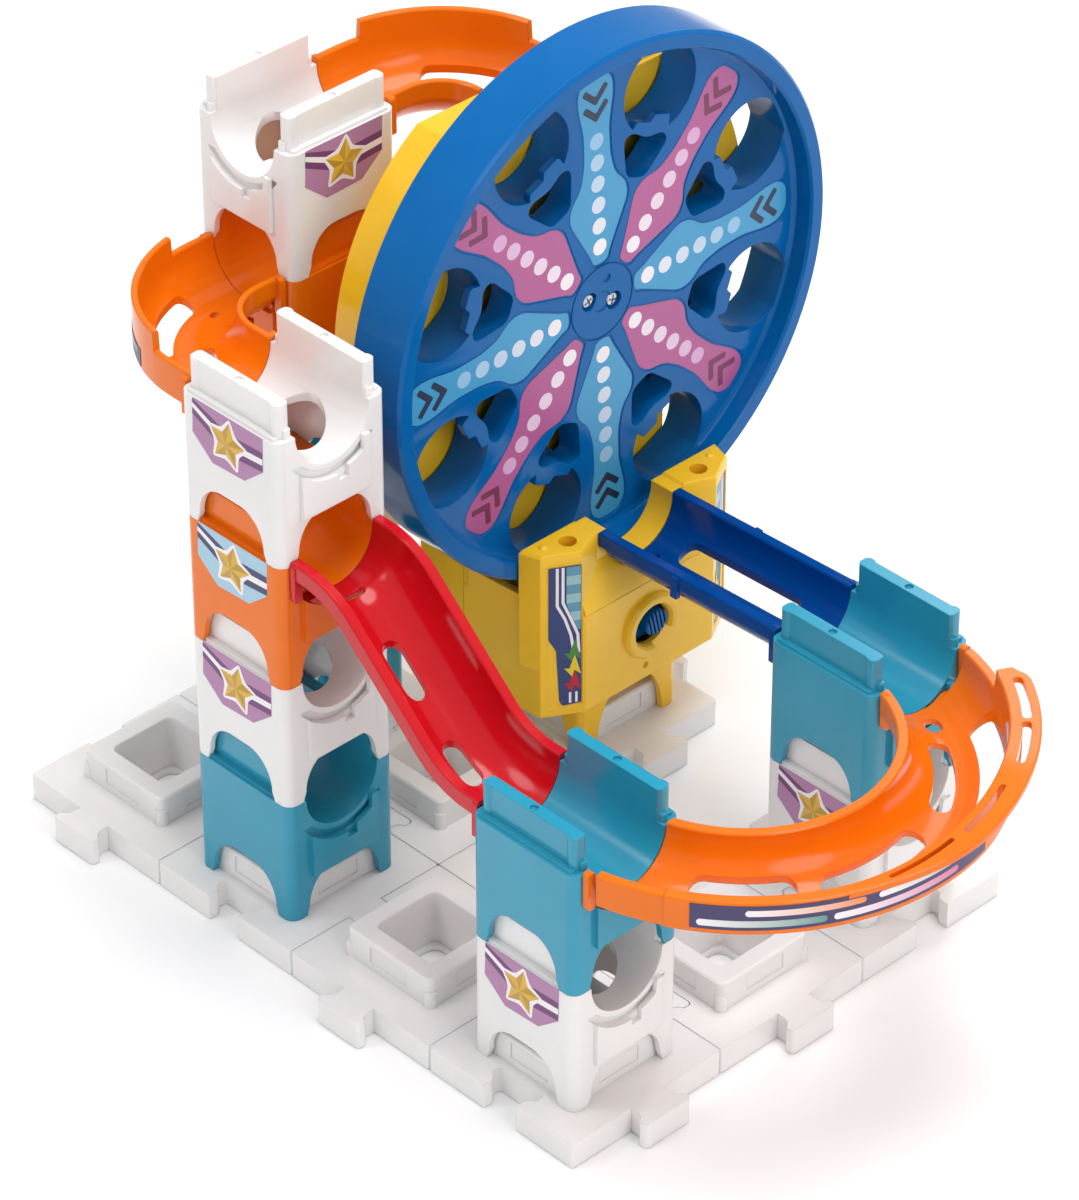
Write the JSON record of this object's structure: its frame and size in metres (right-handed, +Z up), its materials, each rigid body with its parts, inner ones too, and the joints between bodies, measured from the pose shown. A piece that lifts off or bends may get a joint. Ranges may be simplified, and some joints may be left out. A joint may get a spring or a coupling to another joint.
{
  "type": "marble run",
  "caption": "Toy marble run: a motor-driven wheel with cups lifts marbles to stacked block towers joined by curved tracks, a slide and a chute on jigsaw floor tiles.",
  "frame": {"origin": "underside of the floor tiles, on a jigsaw tab near the middle of the layout", "axes": "+Z up, +X along the slide from the tall tower to the low tower, +Y from the front tiles to the wheel"},
  "size_m": [0.3519, 0.2885, 0.2905],
  "materials": {
    "white_plastic": "slightly translucent moulded plastic, satin",
    "teal_plastic": "moulded plastic, glossy",
    "orange_plastic": "slightly translucent moulded plastic, glossy",
    "red_plastic": "moulded plastic, glossy",
    "navy_plastic": "moulded plastic, glossy",
    "blue_plastic": "moulded plastic, glossy",
    "yellow_plastic": "moulded plastic, glossy",
    "gear_plastic": "natural acetal",
    "black_plastic": "matte",
    "screw_steel": "plated",
    "motor_steel": "plated can",
    "pinion_brass": "machined",
    "battery_wrap": "printed sleeve, plain",
    "label_navy": "printed adhesive film",
    "label_pink": "printed adhesive film",
    "label_light_blue": "printed adhesive film"
  },
  "bodies": {
    "frame": {"tile_00": "white_plastic", "tile_10": "white_plastic", "tile_20": "white_plastic", "tile_30": "white_plastic", "tile_01": "white_plastic", "tile_11": "white_plastic", "tile_21": "white_plastic", "tile_31": "white_plastic", "tile_12": "white_plastic", "tile_32": "white_plastic", "tower_a_block_1": "teal_plastic", "tower_a_block_2": "white_plastic", "tower_a_block_3": "orange_plastic", "tower_a_block_4": "white_plastic", "tower_b_block_1": "teal_plastic", "tower_b_block_2": "white_plastic", "tower_b_block_3": "teal_plastic", "tower_b_block_4": "orange_plastic", "tower_b_block_5": "white_plastic", "tower_c_block_1": "white_plastic", "tower_c_block_2": "teal_plastic", "tower_d_block_1": "white_plastic", "tower_d_block_2": "teal_plastic", "curve_top": "orange_plastic", "curve_mid": "orange_plastic", "curve_low": "orange_plastic", "slide_track": "red_plastic", "chute_track": "navy_plastic", "motor": "motor_steel", "rear_shell": "yellow_plastic", "gear_cover": "yellow_plastic", "front_shell": "yellow_plastic", "shell_screws": "screw_steel", "battery_door": "yellow_plastic", "batteries": "battery_wrap", "battery_contacts": "motor_steel", "switch_body": "black_plastic", "base_labels": "label_navy", "block_labels": "label_pink", "curve_labels": "label_navy"},
    "lifting_wheel": {"wheel": "blue_plastic", "hub_cap": "blue_plastic", "hub_screws": "screw_steel", "spoke_labels_blue": "label_light_blue", "spoke_labels_pink": "label_pink", "axle": "screw_steel", "wheel_gear": "gear_plastic"},
    "idler": {"idler_gear": "gear_plastic"},
    "pinion": {"motor_pinion": "pinion_brass"},
    "switch": {"switch_knob": "blue_plastic"}
  },
  "joints": [
    {"name": "wheel_spin", "type": "hinge", "parent": "frame", "child": "lifting_wheel", "pos_m": [-0.0385, 0.07, 0.187], "axis": [1, 0, 0], "continuous": true},
    {"name": "idler_spin", "type": "hinge", "parent": "frame", "child": "idler", "pos_m": [-0.0535, 0.07, 0.148], "axis": [1, 0, 0], "continuous": true},
    {"name": "pinion_spin", "type": "hinge", "parent": "frame", "child": "pinion", "pos_m": [-0.0545, 0.07, 0.125], "axis": [1, 0, 0], "continuous": true},
    {"name": "switch_slide", "type": "slide", "parent": "frame", "child": "switch", "axis": [0, 1, 0], "range_m": [-0.005, 0]}
  ],
  "couplings": [
    {"joint": "idler_spin", "follows": "wheel_spin", "ratio": -3.3333},
    {"joint": "pinion_spin", "follows": "wheel_spin", "ratio": 12}
  ]
}
